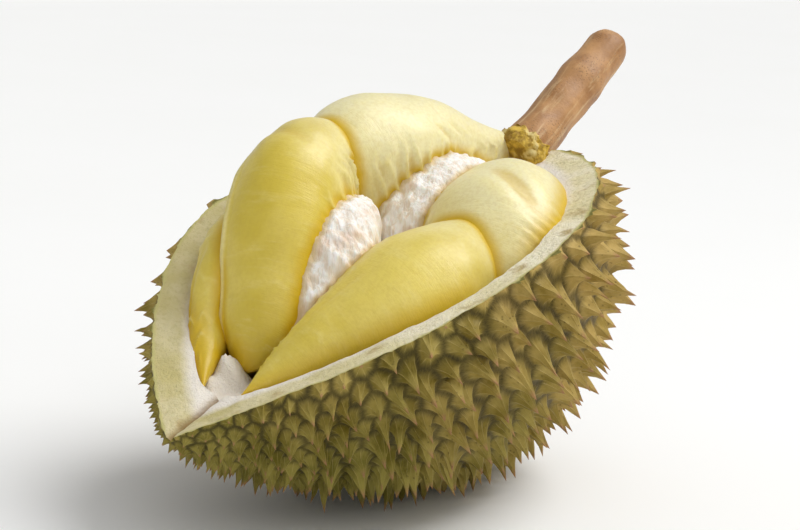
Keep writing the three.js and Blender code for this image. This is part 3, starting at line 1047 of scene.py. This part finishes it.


# %% [markdown]
# ## The broken flesh of the rind
# Inside the thorny skin the rind is a dry, cream-coloured pith. Just under the skin it is green, and
# the green fades into cream within a few millimetres, so the material reads each point's depth under
# the skin from an attribute. The cream is painted darker towards the apex and the far side and paler
# towards the stem end and the near side, as painted light from the upper right, and a brownish line
# marks the furrow at the seam.

# %% Rind flesh material


def make_flesh():
    material, tree, shader, place = new_material("rind flesh")
    depth = add(tree, "ShaderNodeAttribute", attribute_name="under_skin").outputs["Fac"]
    furrow = add(tree, "ShaderNodeAttribute", attribute_name="furrow").outputs["Fac"]
    grain = place_group(tree, GRAIN, {"Vector": place, "Coarse": 520.0, "Fine": 1600.0})
    wander = maths(tree, "MULTIPLY_ADD", cloudy(tree, place, 150.0), 2.4, -1.2)
    depth = maths(tree, "ADD", depth, wander)
    patches = cloudy(tree, place, 38.0, 4.0)
    # Painted light: the cream is darker towards the apex and the far side, paler towards the stem end
    # and the near side.
    shaded_cream = blend(tree, span(tree, patches, 0.36, 0.64), colour("c6ba80"), colour("d8cda2"))
    lit_cream = blend(tree, span(tree, patches, 0.36, 0.64), colour("e6ddb4"), colour("f3ecd4"))
    along = add(tree, "ShaderNodeSeparateXYZ", {0: place})
    nearer = maths(tree, "SUBTRACT", along.outputs["X"], along.outputs["Y"])
    cream = blend(tree, span(tree, nearer, -0.13, 0.0), shaded_cream, lit_cream)
    cream = blend(tree, span(tree, cloudy(tree, place, 90.0, 5.0), 0.55, 0.75), cream, colour("bda878"))
    pits = span(tree, grain.outputs["Coarse"], 0.52, 0.32, 0.0, 0.35)
    cream = blend(tree, pits, cream, colour("b4a970"))
    cream = blend(tree, span(tree, depth, 10.0, 16.0), cream, colour("eee7dc"))
    near_skin = blend(tree, span(tree, depth, 0.3, 1.9), colour("c6be7e"), cream)
    body = blend(tree, span(tree, depth, -0.8, 0.4), colour("7a7434"), near_skin)
    body = blend(tree, maths(tree, "MULTIPLY", furrow, 0.95), body, colour("8f6c30"))
    specks = place_group(tree, SPECKS, {"Vector": place, "Scale": 700.0, "Size": 0.2})
    body = blend(tree, maths(tree, "MULTIPLY", specks.outputs["Mask"], 0.35), body, colour("b7a26b"))
    join(tree, shader, Base_Color=body, Roughness=0.72,
         Normal=bump(tree, grain.outputs["Height"], 0.9, 0.0014), Specular_IOR_Level=0.3,
         Subsurface_Weight=0.15, Subsurface_Radius=(0.004, 0.003, 0.0015))
    return material


# %% [markdown]
# ## The flesh of the pods
# Ripe aril is creamy and lets light in, so it is a subsurface material with a soft, moist gloss. It
# is painted paler towards the stem end and the top and on the crests of its folds as a highlight,
# and a deeper gold as shade in the troughs of its folds and where it lies close to its neighbours or
# the rind.
# Faint fibres run round the pod, and they come from its own map, stretched along the girth.

# %% Aril material


def make_aril():
    material, tree, shader, place = new_material("durian aril")
    crowded = add(tree, "ShaderNodeAttribute", attribute_name="crowded").outputs["Fac"]
    uv = add(tree, "ShaderNodeUVMap", uv_map="UVMap").outputs["UV"]
    stretched = add(tree, "ShaderNodeMapping", {"Vector": uv, "Scale": (7.0, 30.0, 1.0)}).outputs[0]
    fibres = cloudy(tree, stretched, 1.0, 4.0, 0.6)
    fine = add(tree, "ShaderNodeMapping", {"Vector": uv, "Scale": (26.0, 260.0, 1.0)}).outputs[0]
    fine_fibres = cloudy(tree, fine, 1.0, 3.0, 0.6)
    patches = cloudy(tree, place, 24.0, 3.0)
    fold = add(tree, "ShaderNodeAttribute", attribute_name="fold").outputs["Fac"]
    spot = add(tree, "ShaderNodeSeparateXYZ", {0: place})
    upper_end = maths(tree, "MULTIPLY_ADD", spot.outputs["Z"], 0.3, spot.outputs["X"])
    pale = blend(tree, span(tree, patches, 0.35, 0.65), colour("d6bf42"), colour("e5d166"))
    # Painted highlight: the pod is painted paler towards the stem end and the top.
    highlight_side = maths(tree, "MULTIPLY_ADD", patches, 0.06, upper_end)
    pale = blend(tree, span(tree, highlight_side, 0.0, 0.07, 0.0, 0.85), pale, colour("f5eec2"))
    pale = blend(tree, span(tree, fibres, 0.5, 0.8, 0.0, 0.3), pale, colour("f3e8a6"))
    pale = blend(tree, span(tree, fibres, 0.45, 0.2, 0.0, 0.25), pale, colour("d0b43a"))
    # Painted shade: deep gold where the pod lies close to a neighbour or to the rind.
    shade_near_neighbours = maths(tree, "ADD", crowded, maths(tree, "MULTIPLY_ADD", patches, 0.3, -0.15))
    gold = blend(tree, span(tree, shade_near_neighbours, 0.25, 1.0), pale, colour("d6b20c"))
    gold = blend(tree, span(tree, shade_near_neighbours, 0.9, 1.1), gold, colour("cda004"))
    # Painted highlight on the crests of the folds, painted shade in their troughs.
    gold = blend(tree, span(tree, fold, 0.1, 1.0, 0.0, 0.7), gold, colour("f3e6a0"))
    gold = blend(tree, span(tree, fold, -0.2, -1.2, 0.0, 0.5), gold, colour("cba524"))
    height = maths(tree, "MULTIPLY_ADD", fine_fibres, 0.35, fibres)
    grain = place_group(tree, GRAIN, {"Vector": place, "Coarse": 620.0, "Fine": 1800.0})
    cells = span(tree, grain.outputs["Coarse"], 0.6, 0.35, 0.0, 0.16)
    gold = blend(tree, cells, gold, colour("c8ab3c"))
    height = maths(tree, "MULTIPLY_ADD", grain.outputs["Height"], 0.5, height)
    join(tree, shader, Base_Color=gold, Normal=bump(tree, height, 0.35, 0.0008),
         Roughness=span(tree, fibres, 0.3, 0.7, 0.3, 0.44), Specular_IOR_Level=0.5,
         Subsurface_Weight=0.35, Subsurface_Radius=(0.005, 0.0046, 0.0012))
    return material


# %% [markdown]
# ## Pith, stem and torn tissue
# The pith between the pods is white and stringy with a blush where it tore, and it is painted tan as
# shade where it lies close to a pod or to the rind. The stem is a smooth brown bark with dark pores
# and pale streaks, which are partly its own and partly a painted highlight. The tissue at its foot
# dried to a mix of mustard and brown.

# %% Pith, stem and tissue materials


def make_pith():
    material, tree, shader, place = new_material("durian pith")
    crowded = add(tree, "ShaderNodeAttribute", attribute_name="crowded").outputs["Fac"]
    drawn = add(tree, "ShaderNodeMapping", {"Vector": place, "Scale": (420.0, 420.0, 45.0)}).outputs[0]
    strands = cloudy(tree, drawn, 1.0, 4.0, 0.6)
    patches = cloudy(tree, place, 55.0, 4.0)
    body = blend(tree, span(tree, strands, 0.35, 0.6), colour("e9dccb"), colour("fbf9f5"))
    body = blend(tree, span(tree, patches, 0.5, 0.68, 0.0, 0.65), body, colour("dfbfa0"))
    # Painted shade: the pith is painted tan where it lies close to a pod or to the rind.
    body = blend(tree, span(tree, crowded, 0.55, 1.0), body, colour("dcc492"))
    join(tree, shader, Base_Color=body, Roughness=0.6, Normal=bump(tree, strands, 0.8, 0.0016),
         Subsurface_Weight=0.3, Subsurface_Radius=(0.006, 0.004, 0.003))
    return material


def make_stem():
    material, tree, shader, place = new_material("stem bark")
    grain = place_group(tree, GRAIN, {"Vector": place, "Coarse": 90.0, "Fine": 900.0})
    lean = LYING_TILT + STEM_LIFT - math.pi / 2
    upright = add(tree, "ShaderNodeMapping", {"Vector": place, "Rotation": (0.0, lean, 0.0)})
    drawn = add(tree, "ShaderNodeMapping", {
        "Vector": upright.outputs[0], "Scale": (300.0, 300.0, 30.0)})
    streaks = cloudy(tree, drawn.outputs[0], 1.0, 3.0, 0.6)
    mottle = span(tree, grain.outputs["Coarse"], 0.3, 0.7)
    body = blend(tree, mottle, colour("9c6d3e"), colour("c2925f"))
    # Pale lengthwise streaks: partly the bark's own streaks, partly a painted highlight.
    body = blend(tree, span(tree, streaks, 0.52, 0.72, 0.0, 0.55), body, colour("e2c698"))
    specks = place_group(tree, SPECKS, {"Vector": place, "Scale": 900.0, "Size": 0.34})
    body = blend(tree, maths(tree, "MULTIPLY", specks.outputs["Mask"], 0.6), body, colour("7d5c3c"))
    height = maths(tree, "MULTIPLY_ADD", specks.outputs["Mask"], -0.3, grain.outputs["Height"])
    join(tree, shader, Base_Color=body, Normal=bump(tree, height, 0.5, 0.0009),
         Roughness=span(tree, grain.outputs["Coarse"], 0.3, 0.7, 0.42, 0.6))
    return material


def make_tissue():
    material, tree, shader, place = new_material("torn tissue")
    grain = place_group(tree, GRAIN, {"Vector": place, "Coarse": 240.0, "Fine": 1400.0})
    coarse = grain.outputs["Coarse"]
    body = blend(tree, span(tree, coarse, 0.35, 0.6), colour("94721e"), colour("dab644"))
    body = blend(tree, span(tree, cloudy(tree, place, 120.0, 3.0), 0.52, 0.68), body, colour("dcc98a"))
    join(tree, shader, Base_Color=body, Roughness=0.75, Normal=bump(tree, coarse, 0.8, 0.0015))
    return material


MATERIALS = {
    "rind": make_rind(),
    "flesh": make_flesh(),
    "aril": make_aril(),
    "pith": make_pith(),
    "stem": make_stem(),
    "tissue": make_tissue(),
}
print("materials:", ", ".join(MATERIALS))

# %% [markdown]
# ## Putting the pieces in place
# A finished piece sits at the origin with its place in its mesh. Tips that would go into the table
# are pressed flat on it, as the fruit's weight blunts them. Smooth shading with sharp edges kept
# above a set angle leaves ridges crisp and swellings soft. The husk also stores how deep each point
# lies under its skin and how close it is to the furrow.

# %% Finish a piece


def finish_piece(bm, name, slot, materials, crisp=None):
    bm.transform(FRUIT_TO_SCENE)
    for vert in bm.verts:
        vert.co.z = max(vert.co.z, 0)
    mesh = mesh_from(bm, name)
    for material in materials:
        mesh.materials.append(MATERIALS[material])
    mesh.shade_smooth()
    if crisp is not None:
        mesh.set_sharp_from_angle(angle=math.radians(crisp))
    piece = add_object(f"{name}_skin" if slot == "aril" else f"{name}_outside", mesh)
    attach(piece, "root")
    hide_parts(name)
    lowest = min(vert.co.z for vert in mesh.vertices)
    print(f"{piece.name}: {len(mesh.polygons)} faces, lowest point {lowest * 1000:.1f} mm")


def mark_husk(bm):
    """Store the depth under the skin and the furrow for the flesh material."""
    under_skin = bm.verts.layers.float.new("under_skin")
    furrow = bm.verts.layers.float.new("furrow")
    for vert in bm.verts:
        vert[under_skin] = depth_under_skin(vert.co)
        vert[furrow] = math.exp(-(vert.co.y / 1.5) ** 2) * ease(FURROW_END, 40, vert.co.x)


mark_husk(skin)
finish_piece(skin, "husk", "husk", ["rind", "flesh"], crisp=38)
finish_piece(stem, "stem", "stem", ["stem"], crisp=60)
finish_piece(collar, "stem_collar", "stem_collar", ["tissue"], crisp=50)
for name, bm in plump.items():
    kind = "pith" if name.startswith("pith") else "aril"
    finish_piece(bm, name, kind, [kind])

# %% [markdown]
# ## Table, light and camera
# The fruit lies on a plain pale table. A white sky gives the even light of a studio, a large softbox
# from the upper right makes the form and its soft shadow, a weaker one on the left opens the shadows,
# and a small panel adds a moist highlight. The camera looks along the opening from the apex, a
# little from above.

# %% Table and light
TABLE_HALF = 9.0
SKY_STRENGTH = 0.43


def make_table():
    bm = bmesh.new()
    bmesh.ops.create_grid(bm, x_segments=2, y_segments=2, size=TABLE_HALF)
    mesh = mesh_from(bm, "table")
    material, tree, shader, place = new_material("pale table")
    body = blend(tree, cloudy(tree, place, 6.0), colour("f8f8f6"), colour("fbfbfa"))
    join(tree, shader, Base_Color=body, Roughness=0.8)
    mesh.materials.append(material)
    table = add_object("table", mesh)


def make_softbox(name, direction, spread, power):
    """A soft light so far away that it is equally bright all over the table."""
    light = bpy.data.lights.new(name, "SUN")
    light.angle = spread
    light.energy = power
    box = add_object(name, light)
    box.rotation_euler = (-Vector(direction)).to_track_quat("-Z", "Y").to_euler()


def make_panel(name, eye, aim, size, power):
    light = bpy.data.lights.new(name, "AREA")
    light.shape = "DISK"
    light.size = size
    light.energy = power
    panel = add_object(name, light)
    panel.location = eye
    panel.rotation_euler = (Vector(aim) - Vector(eye)).to_track_quat("-Z", "Y").to_euler()


make_table()
make_softbox("upper right softbox", (0.55, -0.35, 1.0), math.radians(38), 1.65)
make_softbox("fill softbox", (-0.55, -0.75, 0.8), math.radians(60), 0.55)
make_panel("highlight panel", (0.5, -0.7, 0.95), (0, 0, 0.1), 0.3, 2.0)
sky = bpy.data.worlds.new("studio sky")
sky.use_nodes = True
sky.node_tree.nodes["Background"].inputs["Color"].default_value = (1, 1, 1, 1)
sky.node_tree.nodes["Background"].inputs["Strength"].default_value = SKY_STRENGTH
bpy.context.scene.world = sky
bpy.context.scene.view_settings.view_transform = "Standard"

# %% Camera
EYE = Vector((-0.88060, -0.61562, 0.29506))
LOOK = Vector((0.80228, 0.56809, -0.18335))
ROLL = math.radians(3.626)
LENS = 118.41


def make_camera():
    data = bpy.data.cameras.new("camera")
    data.lens = LENS
    data.sensor_width = 36
    data.clip_end = 50
    camera = add_object("camera", data)
    turn = LOOK.to_track_quat("-Z", "Y").to_matrix().to_4x4()
    camera.matrix_world = Matrix.Translation(EYE) @ turn @ Matrix.Rotation(ROLL, 4, "Z")
    bpy.context.scene.camera = camera


make_camera()

# %% Update the scene
bpy.context.view_layer.update()
